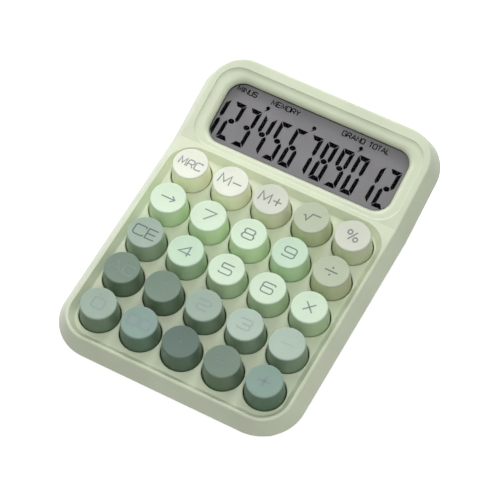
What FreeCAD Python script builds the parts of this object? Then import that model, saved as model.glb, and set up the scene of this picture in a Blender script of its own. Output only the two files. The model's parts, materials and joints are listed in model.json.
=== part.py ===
"""Desk calculator with round mechanical keys, a sunk key deck and a tilted, dished display.

All sizes are in millimetres. Three frames are used. The deck frame has its origin on the deck's top
face under the middle key, with Y towards the display and Z out of the deck. The display frame is
the deck frame bent up about the bend line. The base frame stands on the underside of the case.
"""
import FreeCAD, Part
import math
import os
from collections import namedtuple

Vector = FreeCAD.Vector
X_AXIS = Vector(1, 0, 0)
Y_AXIS = Vector(0, 1, 0)
Z_AXIS = Vector(0, 0, 1)

# Key field, from the row beside the display to the front row
KEY_NAMES = (
    ("mrc", "m_minus", "m_plus", "sqrt", "percent"),
    ("backspace", "7", "8", "9", "divide"),
    ("ce", "4", "5", "6", "multiply"),
    ("ac", "1", "2", "3", "minus"),
    ("0", "00", "point", "equals", "plus"),
)
KEY_PITCH = 19.05
KEY_TRAVEL = 3.0

# Round key cap
CAP_TOP_DIAMETER = 15.0
CAP_SKIRT_DIAMETER = 17.0
CAP_RISE = 9.0
CAP_SKIRT_DEPTH = 1.5
CAP_WALL = 1.4
CAP_ROOF = 1.6
CAP_EDGE_RADIUS = 0.5
CAP_DISH_DEPTH = 0.3
CAP_BOSS_DIAMETER = 5.6
CAP_HOLE_GAP = 0.35
CAP_STOP_GAP = 0.7
HOLE_CHAMFER = 0.3

# Key switch
SWITCH_SIDE = 13.0
SWITCH_TOP_DRAFT = 0.4
SWITCH_HEIGHT = 6.1
SWITCH_BASE_HEIGHT = 2.6
SWITCH_WALL = 0.9
SWITCH_FLOOR = 0.8
SWITCH_PIN_DIAMETER = 3.0
STEM_LENGTH = 6.4
STEM_WIDTH = 5.0
STEM_GAP = 0.3
STEM_FLANGE = 1.0
STEM_FLANGE_THICKNESS = 0.8
STEM_SHOULDER_DEPTH = 1.0
STEM_ROOF = 1.2
CROSS_SPAN = 4.0
CROSS_WIDTH = 1.2
CROSS_HEIGHT = 4.0
CROSS_FIT = 0.05
SPRING_DIAMETER = 3.2
SPRING_WIRE = 0.3
SPRING_GAP = 0.3
SPRING_END_GAP = 0.1
SPIGOT_HEIGHT = 1.2
LEAF_THICKNESS = 0.2
LEAF_WIDTH = 3.0
LEAF_HEIGHT = 3.4
LEAF_FOOT = 0.8
LEAF_BEND = 0.2

# Upper case
DECK_TILT = 3.5
DECK_HEIGHT = 20.0
DECK_THICKNESS = 2.0
RIM_RISE = 3.0
RIM_WIDTH = 1.2
RIM_RADIUS = 1.0
RECESS_SIDE_MARGIN = 11.9
RECESS_FRONT_MARGIN = 13.6
RECESS_REAR_MARGIN = 12.2
RECESS_SLOPE = 2.4
RECESS_CORNER = 12.0
RECESS_FOOT_RADIUS = 0.8
SHELL_DEPTH = 8.0
SHELL_WALL = 2.3
SIDE_FLARE = 4.2
FRONT_FLARE = 3.3
REAR_FLARE = 1.2
FRONT_CORNER_EASE = 1.7
EDGE_BAND = 0.8

# Display part of the upper case
DISPLAY_TILT = 14.0
DISPLAY_LENGTH = 43.4
DISPLAY_REAR_CORNER = 14.0
BAR_WIDTH = 1.7
DISH_FRONT = 0.2
DISH_REAR = 38.8
DISH_SIDE_MARGIN = 2.5
DISH_CORNER = 10.0
DISH_STEP = 0.6
DISH_LEDGE = 0.2
# Share of the way in to the opening, and share of the way down to the window, at each section
DISH_ROLL = ((0.0, 0.0), (0.45, 0.12), (0.8, 0.31), (0.94, 0.56), (1.0, 1.06))
OPENING_LENGTH = 85.9
OPENING_WIDTH = 29.4
OPENING_FRONT = 4.4
OPENING_CORNER = 7.0

# Window, panel, bracket and ribbon
WINDOW_THICKNESS = 1.2
WINDOW_LAP = 2.0
WINDOW_GAP = 0.1
PANEL_THICKNESS = 1.8
PANEL_LAP = 1.6
PANEL_GAP = 0.2
BRACKET_WALL = 1.5
BRACKET_FLOOR = 1.3
BRACKET_EAR_RADIUS = 2.3
BRACKET_EAR_THICKNESS = 1.4
BRACKET_EAR_INSET = 5.0
RIBBON_WIDTH = 36.0
RIBBON_THICKNESS = 0.3
RIBBON_BEND = 2.0
RIBBON_LAND = 2.9
RIBBON_LAP = 2.4
RIBBON_SLOT_GAP = 1.0

# Circuit board
BOARD_THICKNESS = 1.6
BOARD_MARGIN = 0.4
BOARD_GAP = 1.7
BOARD_CORNER = 1.5
CHIP_DIAMETER = 16.0
CHIP_HEIGHT = 2.0
CHIP_ROW = 1.75
PIN_HOLE_GAP = 0.1

# Lower case
FLOOR_THICKNESS = 2.0
REVEAL = 0.6
TRAY_WALL = 2.0
TRAY_DEPTH = 3.5
TRAY_FLOOR = 2.0
TONGUE_INSET = 3.3
TONGUE_THICKNESS = 1.2
TONGUE_HEIGHT = 1.2
PEDESTAL_WALL = 2.0
PEDESTAL_TAIL = 36.0
PEDESTAL_CORNER = 8.5
PEDESTAL_DRAFT = 0.035
PEDESTAL_CHAMFER = 1.8

# Screws
CASE_SCREW_SHANK = 2.2
CASE_SCREW_HEAD = 4.4
CASE_SCREW_HEAD_HEIGHT = 1.6
CASE_SCREW_GRIP = 6.0
CASE_SCREW_WEB = 2.0
CASE_BOSS_DIAMETER = 5.4
CASE_POST_DIAMETER = 7.6
SMALL_SCREW_SHANK = 1.7
SMALL_SCREW_HEAD = 3.4
SMALL_SCREW_HEAD_HEIGHT = 1.2
SMALL_SCREW_GRIP = 4.0
BRACKET_SCREW_GRIP = 2.6
SMALL_BOSS_DIAMETER = 4.6
SCREW_FIT = 0.05
SCREW_CLEARANCE = 0.3
DRIVE_WIDTH = 0.8
DRIVE_DEPTH = 0.6
REAR_SCREW_SPREAD = 36.0
REAR_SCREW_SETBACK = 1.5

# Battery and its cover
CELL_DIAMETER = 10.5
CELL_BODY_LENGTH = 43.3
CELL_NUB_LENGTH = 1.2
CELL_NUB_DIAMETER = 3.8
CELL_EDGE_RADIUS = 0.6
CELL_GAP = 0.5
CELL_SETBACK = 19.0
CONTACT_ROOM = 3.2
CONTACT_THICKNESS = 0.4
CONTACT_WIDTH = 7.0
CONTACT_BEND = 0.5
CONTACT_SEAT_GAP = 0.1
TUB_WALL = 1.5
LEAD_DIAMETER = 1.2
LEAD_HOLE_GAP = 0.3
LEAD_INSET = 3.0
COVER_THICKNESS = 1.8
COVER_GAP = 0.3
COVER_LAP = 2.0
COVER_TONGUE = 1.5
COVER_TONGUE_THICKNESS = 0.7
COVER_ROOF = 1.6
COVER_RAIL = 2.2
GRIP_GROOVES = 5
GRIP_GROOVE_LENGTH = 14.0
GRIP_GROOVE_WIDTH = 1.0
GRIP_GROOVE_DEPTH = 0.5
GRIP_GROOVE_PITCH = 2.2
GRIP_SETBACK = 4.0

# Rubber feet
FOOT_DIAMETER = 9.0
FOOT_TIP_DIAMETER = 8.0
FOOT_RISE = 1.0
FOOT_RECESS = 0.6
FOOT_GAP = 0.1
FOOT_EDGE_RADIUS = 0.4
FOOT_SIDE_INSET = 9.0
FOOT_END_INSET = 10.0

# Lengths that only have to reach past what they cut
REACH = 40.0
PAST = 1.0

# Places worked out from the sizes above
ROWS = len(KEY_NAMES)
COLUMNS = len(KEY_NAMES[0])
KEY_HALF_X = KEY_PITCH * (COLUMNS - 1) / 2
KEY_HALF_Y = KEY_PITCH * (ROWS - 1) / 2
HOLE_RADIUS = CAP_SKIRT_DIAMETER / 2 + CAP_HOLE_GAP
SWITCH_TOP = -(CAP_SKIRT_DEPTH + KEY_TRAVEL + CAP_STOP_GAP)
BOARD_TOP = SWITCH_TOP - SWITCH_HEIGHT
BOARD_BOTTOM = BOARD_TOP - BOARD_THICKNESS
BEND_Y = KEY_HALF_Y + RECESS_REAR_MARGIN + BAR_WIDTH
CEILING = -(RIM_RISE + DECK_THICKNESS)
OPENING_REAR = OPENING_FRONT + OPENING_WIDTH
WINDOW_TOP = CEILING + WINDOW_THICKNESS
PANEL_TOP = CEILING - WINDOW_GAP
PANEL_BOTTOM = PANEL_TOP - PANEL_THICKNESS
BOARD_HALF_X = KEY_HALF_X + SWITCH_SIDE / 2 + BOARD_MARGIN
BOARD_FRONT = -(KEY_HALF_Y + SWITCH_SIDE / 2 + BOARD_MARGIN)
BOARD_REAR = KEY_HALF_Y + SWITCH_SIDE / 2 + RIBBON_LAND
PEDESTAL_HALF_X = BOARD_HALF_X + BOARD_GAP + PEDESTAL_WALL
PEDESTAL_FRONT = BOARD_FRONT - BOARD_GAP - PEDESTAL_WALL
PEDESTAL_REAR = BEND_Y + PEDESTAL_TAIL
CELL_LENGTH = CELL_BODY_LENGTH + CELL_NUB_LENGTH
CELL_Y = PEDESTAL_REAR - CELL_SETBACK
CELL_Z = COVER_THICKNESS + COVER_GAP + CELL_DIAMETER / 2
TUB_HALF_X = CELL_LENGTH / 2 + CONTACT_ROOM
TUB_HALF_Y = CELL_DIAMETER / 2 + CELL_GAP
TUB_CEILING = CELL_Z + CELL_DIAMETER / 2 + CELL_GAP
COVER_HALF_X = TUB_HALF_X + COVER_LAP
COVER_FRONT = CELL_Y - TUB_HALF_Y - COVER_LAP
SCREW_SEAT = BOARD_BOTTOM - CASE_SCREW_WEB

# The deck frame, the same frame moved to the bend line, the display frame, and the mitre between
DECK = FreeCAD.Placement(Vector(0, 0, DECK_HEIGHT), FreeCAD.Rotation(X_AXIS, DECK_TILT))
BEND_LINE = Vector(0, BEND_Y, RIM_RISE)
KEYBOARD = DECK * FreeCAD.Placement(BEND_LINE, FreeCAD.Rotation())
DISPLAY = DECK * FreeCAD.Placement(BEND_LINE, FreeCAD.Rotation(X_AXIS, DISPLAY_TILT))
MITRE = DECK * FreeCAD.Placement(BEND_LINE, FreeCAD.Rotation(X_AXIS, DISPLAY_TILT / 2))

# A rounded outline in the plane of the slab, with Y measured from the bend line
Outline = namedtuple("Outline", "half_x front rear front_corner rear_corner")


def inset(outline, distance):
    """The outline moved in by a distance all round, with square corners left square."""
    return Outline(
        outline.half_x - distance,
        outline.front + distance,
        outline.rear - distance,
        max(0.0, outline.front_corner - distance),
        max(0.0, outline.rear_corner - distance),
    )


RECESS = Outline(
    KEY_HALF_X + RECESS_SIDE_MARGIN,
    -KEY_HALF_Y - RECESS_FRONT_MARGIN - BEND_Y,
    KEY_HALF_Y + RECESS_REAR_MARGIN - BEND_Y,
    RECESS_CORNER,
    RECESS_CORNER,
)
RIM = Outline(
    RECESS.half_x + RIM_WIDTH,
    RECESS.front - RIM_WIDTH,
    DISPLAY_LENGTH,
    RECESS_CORNER + RIM_WIDTH,
    DISPLAY_REAR_CORNER,
)
PARTING = Outline(
    RIM.half_x + SIDE_FLARE,
    RIM.front - FRONT_FLARE,
    RIM.rear + REAR_FLARE,
    RIM.front_corner + (SIDE_FLARE + FRONT_FLARE) / 2 + FRONT_CORNER_EASE,
    RIM.rear_corner + (SIDE_FLARE + REAR_FLARE) / 2,
)
DISH = Outline(RIM.half_x - DISH_SIDE_MARGIN, DISH_FRONT, DISH_REAR, DISH_CORNER, DISH_CORNER)
OPENING = Outline(OPENING_LENGTH / 2, OPENING_FRONT, OPENING_REAR, OPENING_CORNER, OPENING_CORNER)


def between(first, second, share):
    """The outline that lies a share of the way from the first to the second."""
    return Outline(*(a + (b - a) * share for a, b in zip(first, second)))


def wall_outline(height):
    """Outer outline of the flared wall at a height below the rim."""
    return between(RIM, PARTING, min(1.0, -height / (SHELL_DEPTH - EDGE_BAND)))


def at(shape, frame):
    """A copy of the shape carried from local coordinates into a frame."""
    placed = shape.copy()
    placed.Placement = frame.multiply(placed.Placement)
    return placed


def box(x_range, y_range, z_range):
    """A block between two values along each axis."""
    corner = Vector(x_range[0], y_range[0], z_range[0])
    sizes = [high - low for low, high in (x_range, y_range, z_range)]
    return Part.makeBox(*sizes, corner)


def centred_box(length, width, z_range):
    """A block centred on the Z axis."""
    return box((-length / 2, length / 2), (-width / 2, width / 2), z_range)


def rod(diameter, start, end, x=0.0, y=0.0):
    """A round bar along Z."""
    return Part.makeCylinder(diameter / 2, end - start, Vector(x, y, start))


def fused(shapes):
    """One solid from shapes that overlap or touch."""
    first, *others = shapes
    return first.fuse(others).removeSplitter()


def plan_wire(outline, height):
    """A closed wire round the outline, with an arc at each corner that has a radius."""
    corners = (
        (outline.half_x, outline.front, -1, 1, outline.front_corner),
        (outline.half_x, outline.rear, -1, -1, outline.rear_corner),
        (-outline.half_x, outline.rear, 1, -1, outline.rear_corner),
        (-outline.half_x, outline.front, 1, 1, outline.front_corner),
    )
    ends = []
    arcs = []
    for index, (x, y, inward_x, inward_y, radius) in enumerate(corners):
        along_x = Vector(x + inward_x * radius, y, height)
        along_y = Vector(x, y + inward_y * radius, height)
        slack = radius * (1 - math.sqrt(0.5))
        middle = Vector(x + inward_x * slack, y + inward_y * slack, height)
        start, end = (along_x, along_y) if index % 2 == 0 else (along_y, along_x)
        ends.append((start, end))
        arcs.append(Part.Arc(start, middle, end).toShape() if radius > 0 else None)
    edges = []
    for index, arc in enumerate(arcs):
        if arc:
            edges.append(arc)
        following = ends[(index + 1) % len(ends)]
        edges.append(Part.makeLine(ends[index][1], following[0]))
    return Part.Wire(edges)


def plan_prism(outline, bottom, top):
    """A straight prism on an outline."""
    face = Part.Face(plan_wire(outline, bottom))
    return face.extrude(Vector(0, 0, top - bottom))


def plan_loft(sections, ruled=True):
    """A solid through outlines given with their heights."""
    wires = [plan_wire(outline, height) for outline, height in sections]
    return Part.makeLoft(wires, True, ruled)


def half_space(frame, side):
    """A large block on the front (-1) or rear (1) side of a frame's XZ plane."""
    span = (-BIG, BIG)
    depth = (-BIG, 0) if side < 0 else (0, BIG)
    return at(box(span, depth, span), frame)


BIG = 4 * (PARTING.rear - PARTING.front)


def bent(sections, rounding=0.0):
    """The keyboard and display halves of a slab, mitred at the bend line and joined.

    Each section is an outline with its height below the rim plane. The top outer edge is rounded.
    """
    front_half = [(o._replace(rear=REACH, rear_corner=0.0), z) for o, z in sections]
    rear_half = [(o._replace(front=-REACH, front_corner=0.0), z) for o, z in sections]
    halves = []
    for half, frame, side in ((front_half, KEYBOARD, -1), (rear_half, DISPLAY, 1)):
        solid = plan_loft(half).common(half_space(frame.inverse() * MITRE, side))
        if rounding:
            solid = round_top(solid, half[0][1], rounding)
        halves.append(at(solid, frame))
    return fused(halves)


def round_top(solid, height, radius):
    """Round the outer top edge of one half, leaving its edge on the bend line sharp."""
    def outer(edge):
        on_top = all(abs(v.Point.z - height) < CROSS_FIT for v in edge.Vertexes)
        on_bend = all(abs(v.Point.y) < CROSS_FIT for v in edge.Vertexes)
        return on_top and not on_bend

    return solid.makeFillet(radius, [edge for edge in solid.Edges if outer(edge)])


def corner_arc(corner, before, after, radius):
    """Start, middle and end of the arc that rounds a corner between two other points."""
    back = (before - corner).normalize()
    ahead = (after - corner).normalize()
    half_angle = back.getAngle(ahead) / 2
    run = radius / math.tan(half_angle)
    inward = (back + ahead).normalize()
    centre = corner + inward * (radius / math.sin(half_angle))
    return corner + back * run, centre - inward * radius, corner + ahead * run


def rounded_path(points, radii):
    """Straight and arc edges through the points, with a radius at each inner point."""
    edges = []
    last = points[0]
    for index, radius in enumerate(radii, start=1):
        start, middle, end = corner_arc(points[index], last, points[index + 1], radius)
        edges.append(Part.makeLine(last, start))
        edges.append(Part.Arc(start, middle, end).toShape())
        last = end
    edges.append(Part.makeLine(last, points[-1]))
    return edges


def bent_strip(points, thickness, width, bend):
    """A sheet strip across X, bent along points in the YZ plane and thickened to the left."""
    runs = [(b - a).normalize() for a, b in zip(points, points[1:])]
    sides = [Vector(0, -run.z, run.y) for run in runs]
    offset = [points[0] + sides[0] * thickness]
    near_radii = []
    far_radii = []
    for index in range(1, len(points) - 1):
        before, after = sides[index - 1], sides[index]
        mitre = (before + after) * (thickness / (1 + before.dot(after)))
        offset.append(points[index] + mitre)
        left_turn = runs[index - 1].cross(runs[index]).x > 0
        near_radii.append(bend + thickness if left_turn else bend)
        far_radii.append(bend if left_turn else bend + thickness)
    offset.append(points[-1] + sides[-1] * thickness)
    near = rounded_path(points, near_radii)
    far = rounded_path(offset, far_radii)
    caps = [Part.makeLine(points[0], offset[0]), Part.makeLine(points[-1], offset[-1])]
    outline = Part.Wire(Part.__sortEdges__(near + far + caps))
    sheet = Part.Face(outline).extrude(Vector(width, 0, 0))
    sheet.translate(Vector(-width / 2, 0, 0))
    return sheet


def revolved(edges):
    """A solid of revolution about Z from a closed chain of edges in the XZ plane."""
    return Part.Face(Part.Wire(edges)).revolve(Vector(), Z_AXIS, 360)


def dome_arc(pole, edge):
    """Arc of a sphere about Z, from its pole to a point on its edge."""
    height = edge.z - pole.z
    radius = (edge.x ** 2 + height ** 2) / (2 * height)
    half = edge.x / 2
    middle = pole.z + radius - math.copysign(math.sqrt(radius ** 2 - half ** 2), radius)
    return Part.Arc(pole, Vector(half, 0, middle), edge).toShape()


def chain(points):
    """Straight edges from each point to the next."""
    return [Part.makeLine(a, b) for a, b in zip(points, points[1:])]


def on_key_field(shape):
    """A copy of the shape at every key, row by row from the display."""
    copies = []
    for row in range(ROWS):
        for column in range(COLUMNS):
            place = Vector(column * KEY_PITCH - KEY_HALF_X, KEY_HALF_Y - row * KEY_PITCH, 0)
            copies.append(at(shape, FreeCAD.Placement(place, FreeCAD.Rotation())))
    return copies


def mirrored_places(x, y):
    """Four places set out evenly about the middle key."""
    return [(side_x * x, side_y * y) for side_x in (-1, 1) for side_y in (-1, 1)]


BOSS_PLACES = mirrored_places(KEY_PITCH * (COLUMNS - 2) / 2, KEY_PITCH * (ROWS - 2) / 2)
REAR_BOSS_PLACES = [(side * REAR_SCREW_SPREAD, BEND_Y - REAR_SCREW_SETBACK) for side in (-1, 1)]
BOARD_SCREW_PLACES = mirrored_places(KEY_PITCH / 2, KEY_PITCH / 2)
EAR_X = OPENING.half_x + PANEL_LAP + PANEL_GAP + BRACKET_WALL + BRACKET_EAR_RADIUS
EAR_PLACES = [
    (side * EAR_X, y)
    for side in (-1, 1)
    for y in (OPENING_FRONT + BRACKET_EAR_INSET, OPENING_REAR - BRACKET_EAR_INSET)
]


def key_hole():
    """Round hole through the deck with a broken upper edge."""
    wide = HOLE_RADIUS + HOLE_CHAMFER
    profile = [
        Vector(0, 0, -DECK_THICKNESS - PAST),
        Vector(HOLE_RADIUS, 0, -DECK_THICKNESS - PAST),
        Vector(HOLE_RADIUS, 0, -HOLE_CHAMFER),
        Vector(wide + PAST, 0, PAST),
        Vector(0, 0, PAST),
        Vector(0, 0, -DECK_THICKNESS - PAST),
    ]
    return revolved(chain(profile))


def recess_cutter():
    """The sunk key deck: sloping walls with a rounded foot."""
    foot = -RIM_RISE
    slope = plan_loft([(RECESS, 0), (inset(RECESS, RECESS_SLOPE), foot)])
    bottom = [e for e in slope.Edges if all(abs(v.Point.z - foot) < CROSS_FIT for v in e.Vertexes)]
    slope = slope.makeFillet(RECESS_FOOT_RADIUS, bottom)
    return fused([slope, plan_prism(RECESS, 0, PAST)])


def dish_cutters():
    """The display's dish: a small step, a shoulder that rolls over into the opening, the rebate."""
    step = plan_prism(DISH, -DISH_STEP, PAST)
    brow = inset(DISH, DISH_LEDGE)
    drop = WINDOW_TOP + DISH_STEP
    roll = plan_loft(
        [(between(brow, OPENING, share), drop * depth - DISH_STEP) for share, depth in DISH_ROLL],
        ruled=False,
    )
    rebate = plan_prism(inset(OPENING, -WINDOW_LAP - WINDOW_GAP), CEILING - PAST, WINDOW_TOP)
    return [at(cutter, DISPLAY) for cutter in (step, roll, rebate)]


def boss_with_pilot(diameter, pilot, grip, top, bottom, places):
    """Bosses that hang from the deck, each with a blind pilot hole from below."""
    bosses = []
    for x, y in places:
        boss = rod(diameter, bottom, top, x, y)
        bosses.append(boss.cut(rod(pilot, bottom - PAST, bottom + grip + PAST, x, y)))
    return bosses


def upper_case():
    """Bent shell with the sunk deck, its key holes, the dished display and the screw bosses."""
    outer = bent(
        [(RIM, 0), (PARTING, EDGE_BAND - SHELL_DEPTH), (PARTING, -SHELL_DEPTH)],
        rounding=RIM_RADIUS,
    )
    hollow = bent([
        (inset(wall_outline(CEILING), SHELL_WALL), CEILING),
        (inset(PARTING, SHELL_WALL), EDGE_BAND - SHELL_DEPTH),
        (inset(PARTING, SHELL_WALL), -SHELL_DEPTH - PAST),
    ])
    cutters = [at(hole, DECK) for hole in on_key_field(key_hole())]
    cutters += [hollow, at(recess_cutter(), KEYBOARD)]
    for x, y in EAR_PLACES:
        pilot = rod(SMALL_SCREW_SHANK + 2 * SCREW_FIT, CEILING - PAST, CEILING + BRACKET_SCREW_GRIP, x, y)
        cutters.append(at(pilot, DISPLAY))
    shell = outer.cut(cutters)
    for cutter in dish_cutters():
        shell = shell.cut(cutter)
    case_pilot = CASE_SCREW_SHANK + 2 * SCREW_FIT
    small_pilot = SMALL_SCREW_SHANK + 2 * SCREW_FIT
    under = -DECK_THICKNESS
    bosses = boss_with_pilot(
        CASE_BOSS_DIAMETER, case_pilot, CASE_SCREW_GRIP, under, BOARD_TOP, BOSS_PLACES)
    bosses += boss_with_pilot(
        SMALL_BOSS_DIAMETER, small_pilot, SMALL_SCREW_GRIP, under, BOARD_TOP, BOARD_SCREW_PLACES)
    bosses += boss_with_pilot(
        CASE_BOSS_DIAMETER, case_pilot, CASE_SCREW_GRIP, under, BOARD_BOTTOM, REAR_BOSS_PLACES)
    return fused([shell] + [at(boss, DECK) for boss in bosses])


def pedestal_block(distance, bottom):
    """The drafted foot of the lower case, moved in by a distance, standing in the base frame."""
    foot = inset(
        Outline(PEDESTAL_HALF_X, PEDESTAL_FRONT, PEDESTAL_REAR, PEDESTAL_CORNER, PEDESTAL_CORNER),
        distance,
    )
    top = 3 * DECK_HEIGHT
    low = inset(foot, -PEDESTAL_DRAFT * bottom)
    high = inset(foot, -PEDESTAL_DRAFT * top)
    return plan_loft([(low, bottom), (high, top)])


def pedestal_foot():
    """The outside of the foot, with its lower edge broken so that it stays out of sight."""
    block = pedestal_block(0, 0)
    lower = [e for e in block.Edges if all(abs(v.Point.z) < CROSS_FIT for v in e.Vertexes)]
    return block.makeChamfer(PEDESTAL_CHAMFER, lower)


def below_slab(height):
    """Everything under the bent slab plane at a height below the rim."""
    wide = inset(PARTING, -REACH / 2)
    return bent([(wide, height), (wide, height - 3 * DECK_HEIGHT)])


def screw_posts():
    """Posts on the floor that carry the board and meet the bosses of the upper case."""
    low = -3 * DECK_HEIGHT
    return [at(rod(CASE_POST_DIAMETER, low, BOARD_BOTTOM, x, y), DECK)
            for x, y in BOSS_PLACES + REAR_BOSS_PLACES]


def screw_passages():
    """Clearance hole and deep head pocket of each case screw, from below."""
    passages = []
    for x, y in BOSS_PLACES + REAR_BOSS_PLACES:
        hole = rod(CASE_SCREW_SHANK + 2 * SCREW_CLEARANCE, SCREW_SEAT - PAST, BOARD_BOTTOM + PAST, x, y)
        pocket = rod(CASE_SCREW_HEAD + 2 * SCREW_CLEARANCE, -3 * DECK_HEIGHT, SCREW_SEAT, x, y)
        passages += [at(hole, DECK), at(pocket, DECK)]
    return passages


def tub_block(wall):
    """The battery tub's outside (with its wall) or inside (with none), open below."""
    half_x = TUB_HALF_X + wall
    half_y = TUB_HALF_Y + wall
    low = 0 if wall else -PAST
    return box((-half_x, half_x), (CELL_Y - half_y, CELL_Y + half_y), (low, TUB_CEILING + wall))


def cover_slot():
    """The slot that the battery cover slides in, with a groove for each of its tongues."""
    half_x = COVER_HALF_X + COVER_GAP
    ceiling = COVER_THICKNESS + COVER_GAP
    front = COVER_FRONT - COVER_GAP
    rear = PEDESTAL_REAR + REACH
    mouth = box((-half_x, half_x), (front, rear), (-PAST, ceiling))
    groove_x = half_x + COVER_TONGUE
    low = COVER_THICKNESS - COVER_TONGUE_THICKNESS - COVER_GAP
    groove = box((-groove_x, groove_x), (front, rear), (low, ceiling))
    return fused([mouth, groove])


def cover_housing():
    """Thick floor round the cover slot: its rails and its roof."""
    half_x = COVER_HALF_X + COVER_GAP + COVER_TONGUE + COVER_RAIL
    front = COVER_FRONT - COVER_GAP - COVER_RAIL
    roof = COVER_THICKNESS + COVER_GAP + COVER_ROOF
    return box((-half_x, half_x), (front, PEDESTAL_REAR - PEDESTAL_WALL), (0, roof))


def lead_line(side):
    """Straight run of one battery lead from its contact to the underside of the board."""
    height = (DECK * Vector(0, BOARD_REAR, BOARD_BOTTOM)).z - LEAD_DIAMETER
    front = BOARD_REAR - LEAD_INSET
    rear = CELL_Y - TUB_HALF_Y + CELL_GAP
    start = Vector(side * (TUB_HALF_X - CONTACT_ROOM / 2), front, height)
    return start, rear - front


def foot_places():
    """Middle of each rubber foot on the underside."""
    x = PEDESTAL_HALF_X - FOOT_SIDE_INSET
    ends = (PEDESTAL_FRONT + FOOT_END_INSET, PEDESTAL_REAR - FOOT_END_INSET)
    return [(side * x, y) for side in (-1, 1) for y in ends]


def lower_case():
    """Chamfered tray on a recessed foot, with posts, battery tub, cover rails and foot recesses."""
    edge = inset(PARTING, REVEAL)
    tray_bottom = -SHELL_DEPTH - TRAY_DEPTH
    tray_floor = tray_bottom + TRAY_FLOOR
    tray = bent([(edge, -SHELL_DEPTH), (inset(edge, TRAY_DEPTH), tray_bottom)])
    inner = inset(edge, TRAY_WALL)
    tray_hollow = bent([(inner, PAST - SHELL_DEPTH), (inner, tray_floor)])
    foot = pedestal_foot().common(below_slab(tray_floor))
    foot_hollow = pedestal_block(PEDESTAL_WALL, FLOOR_THICKNESS).common(below_slab(PAST - SHELL_DEPTH))
    shell = fused([tray, foot]).cut([tray_hollow, foot_hollow])
    tongue_outside = inset(PARTING, TONGUE_INSET)
    tongue_top = TONGUE_HEIGHT - SHELL_DEPTH
    tongue = bent([(tongue_outside, tongue_top), (tongue_outside, tray_floor)])
    tongue_inside = inset(tongue_outside, TONGUE_THICKNESS)
    tongue = tongue.cut(bent([(tongue_inside, tongue_top + PAST), (tongue_inside, tray_floor - PAST)]))
    inside = pedestal_block(0, 0)
    posts = [post.common(inside) for post in screw_posts()]
    body = fused([shell, tongue, cover_housing(), tub_block(TUB_WALL)] + posts)
    cutters = screw_passages() + [tub_block(0), cover_slot()]
    for side in (-1, 1):
        start, length = lead_line(side)
        cutters.append(Part.makeCylinder(LEAD_DIAMETER / 2 + LEAD_HOLE_GAP, length, start, Y_AXIS))
    for x, y in foot_places():
        cutters.append(rod(FOOT_DIAMETER + 2 * FOOT_GAP, -PAST, FOOT_RECESS, x, y))
    return body.cut(cutters)


def key_cap():
    """Round tapered cap with a dished top, hollow inside, with a cross socket in its boss."""
    top = CAP_TOP_DIAMETER / 2
    skirt = CAP_SKIRT_DIAMETER / 2
    roof = CAP_RISE - CAP_ROOF
    boss_end = CROSS_FIT * 2 - STEM_SHOULDER_DEPTH
    centre = Vector(0, 0, CAP_RISE - CAP_DISH_DEPTH)
    rim = Vector(top, 0, CAP_RISE)
    hem = Vector(skirt, 0, -CAP_SKIRT_DEPTH)
    start, middle, end = corner_arc(rim, Vector(0, 0, CAP_RISE), hem, CAP_EDGE_RADIUS)
    inner_top = top - CAP_WALL + (skirt - top) * CAP_ROOF / (CAP_RISE + CAP_SKIRT_DEPTH)
    edges = [dome_arc(centre, start), Part.Arc(start, middle, end).toShape()]
    edges += chain([
        end,
        hem,
        Vector(skirt - CAP_WALL, 0, -CAP_SKIRT_DEPTH),
        Vector(inner_top, 0, roof),
        Vector(CAP_BOSS_DIAMETER / 2, 0, roof),
        Vector(CAP_BOSS_DIAMETER / 2, 0, boss_end),
        Vector(0, 0, boss_end),
        centre,
    ])
    depth = (boss_end - PAST, CROSS_HEIGHT - STEM_SHOULDER_DEPTH + CROSS_FIT * 2)
    return revolved(edges).cut(cross_bars(CROSS_FIT, depth))


def cross_bars(clearance, z_range):
    """The two crossing bars of the stem's post, or its socket with a clearance."""
    span = CROSS_SPAN + 2 * clearance
    width = CROSS_WIDTH + 2 * clearance
    return [centred_box(span, width, z_range), centred_box(width, span, z_range)]


def stem_levels():
    """Bottom of the stem at rest and underside of its roof."""
    bottom = BOARD_TOP + SWITCH_FLOOR + STEM_GAP + KEY_TRAVEL
    return bottom, -STEM_SHOULDER_DEPTH - STEM_ROOF


def switch_stem():
    """Sliding stem: a hollow block with a flange at its foot and a cross post on top."""
    bottom, roof = stem_levels()
    shoulder = -STEM_SHOULDER_DEPTH
    body = centred_box(STEM_LENGTH, STEM_WIDTH, (bottom, shoulder))
    flange_length = STEM_LENGTH + 2 * STEM_FLANGE
    flange = centred_box(flange_length, STEM_WIDTH, (bottom, bottom + STEM_FLANGE_THICKNESS))
    post = cross_bars(0, (shoulder - PAST / 2, shoulder + CROSS_HEIGHT))
    bore = rod(SPRING_DIAMETER + 2 * SPRING_GAP, bottom - PAST, roof)
    return fused([body, flange] + post).cut(bore)


def switch_base():
    """Open tray of the switch with its spring spigot and the pin that seats in the board."""
    inner = SWITCH_SIDE - 2 * SWITCH_WALL
    floor = BOARD_TOP + SWITCH_FLOOR
    tray = centred_box(SWITCH_SIDE, SWITCH_SIDE, (BOARD_TOP, BOARD_TOP + SWITCH_BASE_HEIGHT))
    tray = tray.cut(centred_box(inner, inner, (floor, floor + SWITCH_HEIGHT)))
    bore = SPRING_DIAMETER - 2 * SPRING_WIRE
    spigot = rod(bore - 2 * SPRING_GAP, floor, floor + SPIGOT_HEIGHT)
    pin = rod(SWITCH_PIN_DIAMETER, BOARD_BOTTOM, BOARD_TOP)
    return fused([tray, spigot, pin])


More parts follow.
